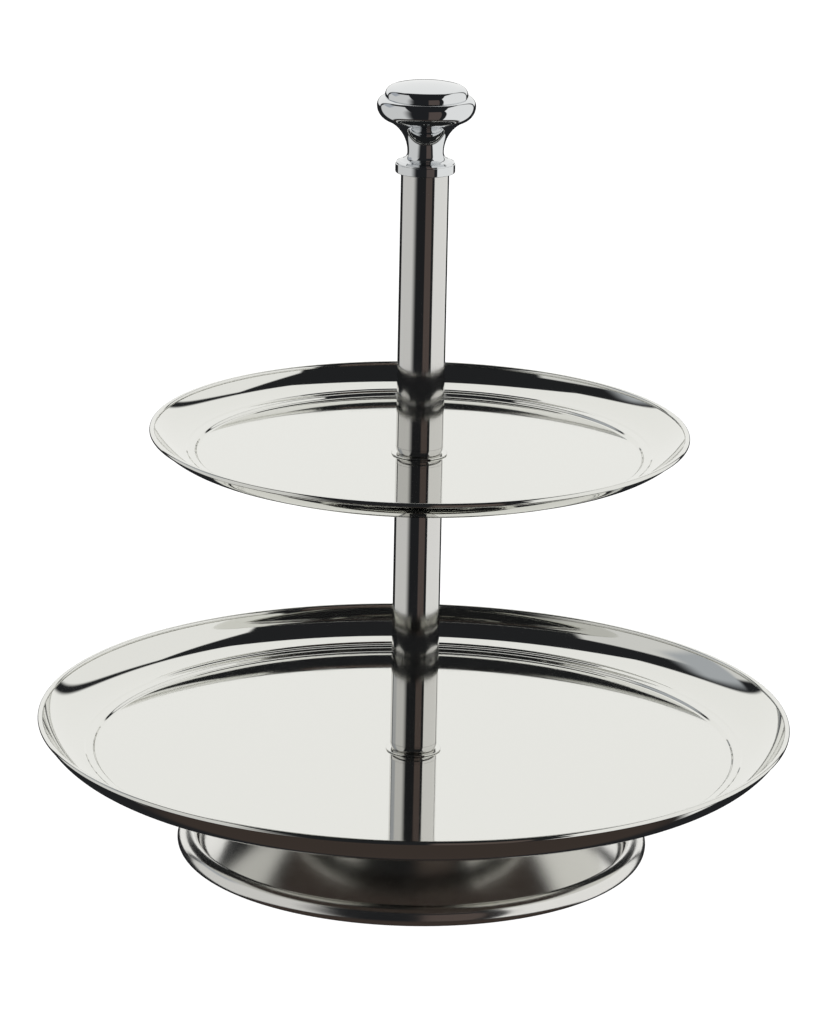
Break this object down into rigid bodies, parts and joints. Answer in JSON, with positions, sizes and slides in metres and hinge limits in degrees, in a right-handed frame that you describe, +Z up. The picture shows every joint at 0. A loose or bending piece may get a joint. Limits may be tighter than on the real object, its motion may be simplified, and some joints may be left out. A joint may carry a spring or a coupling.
{
  "type": "tiered cake stand",
  "caption": "Polished metal cake stand: a low domed foot carries round rimmed trays, the smaller above the larger, on a slim centre tube that ends in a turned knob.",
  "frame": {"origin": "on the table, on the axis that every piece shares, under the centre of the foot", "axes": "+Z up along the tie rod; +X to the right and -Y towards the viewer"},
  "size_m": [0.32, 0.32, 0.3338],
  "materials": {
    "polished_stainless": "mirror polished, with fine circular spinning lines",
    "chrome_plate": "bright chrome plate on cast and turned metal",
    "zinc_steel": "bright zinc-plated steel fastener",
    "brass": "machined brass"
  },
  "bodies": {
    "base": {"foot_shell": "polished_stainless", "tie_rod": "zinc_steel", "foot_washer": "zinc_steel", "lock_washer": "zinc_steel", "foot_nut": "zinc_steel"},
    "lower_bush": {"lower_bush": "polished_stainless"},
    "lower_tray": {"lower_tray": "polished_stainless"},
    "lower_post": {"lower_tube": "polished_stainless", "lower_tube_foot": "polished_stainless", "lower_tube_plug": "polished_stainless"},
    "upper_bush": {"upper_bush": "polished_stainless"},
    "upper_tray": {"upper_tray": "polished_stainless"},
    "upper_post": {"upper_tube": "polished_stainless", "upper_tube_foot": "polished_stainless"},
    "knob_collar": {"knob_collar": "chrome_plate"},
    "knob": {"knob": "chrome_plate", "knob_insert": "brass"}
  },
  "joints": [
    {"name": "lower_bush_lift", "type": "slide", "parent": "base", "child": "lower_bush", "axis": [0, 0, 1], "range_m": [0, 0.275]},
    {"name": "lower_tray_turn", "type": "hinge", "parent": "lower_bush", "child": "lower_tray", "pos_m": [0, 0, 0.0436], "axis": [0, 0, 1], "continuous": true},
    {"name": "lower_post_lift", "type": "slide", "parent": "lower_bush", "child": "lower_post", "axis": [0, 0, 1], "range_m": [0, 0.27]},
    {"name": "upper_bush_lift", "type": "slide", "parent": "lower_post", "child": "upper_bush", "axis": [0, 0, 1], "range_m": [0, 0.14]},
    {"name": "upper_tray_turn", "type": "hinge", "parent": "upper_bush", "child": "upper_tray", "pos_m": [0, 0, 0.1745], "axis": [0, 0, 1], "continuous": true},
    {"name": "upper_post_lift", "type": "slide", "parent": "upper_bush", "child": "upper_post", "axis": [0, 0, 1], "range_m": [0, 0.14]},
    {"name": "knob_turn", "type": "hinge", "parent": "upper_post", "child": "knob_collar", "pos_m": [0, 0, 0.2997], "axis": [0, 0, 1], "range_deg": [0, 3456]},
    {"name": "knob_rise", "type": "slide", "parent": "knob_collar", "child": "knob", "axis": [0, 0, 1], "range_m": [0, 0.0121]}
  ],
  "couplings": [
    {"joint": "knob_rise", "follows": "knob_turn", "m_per_rad": 0.00019894}
  ]
}
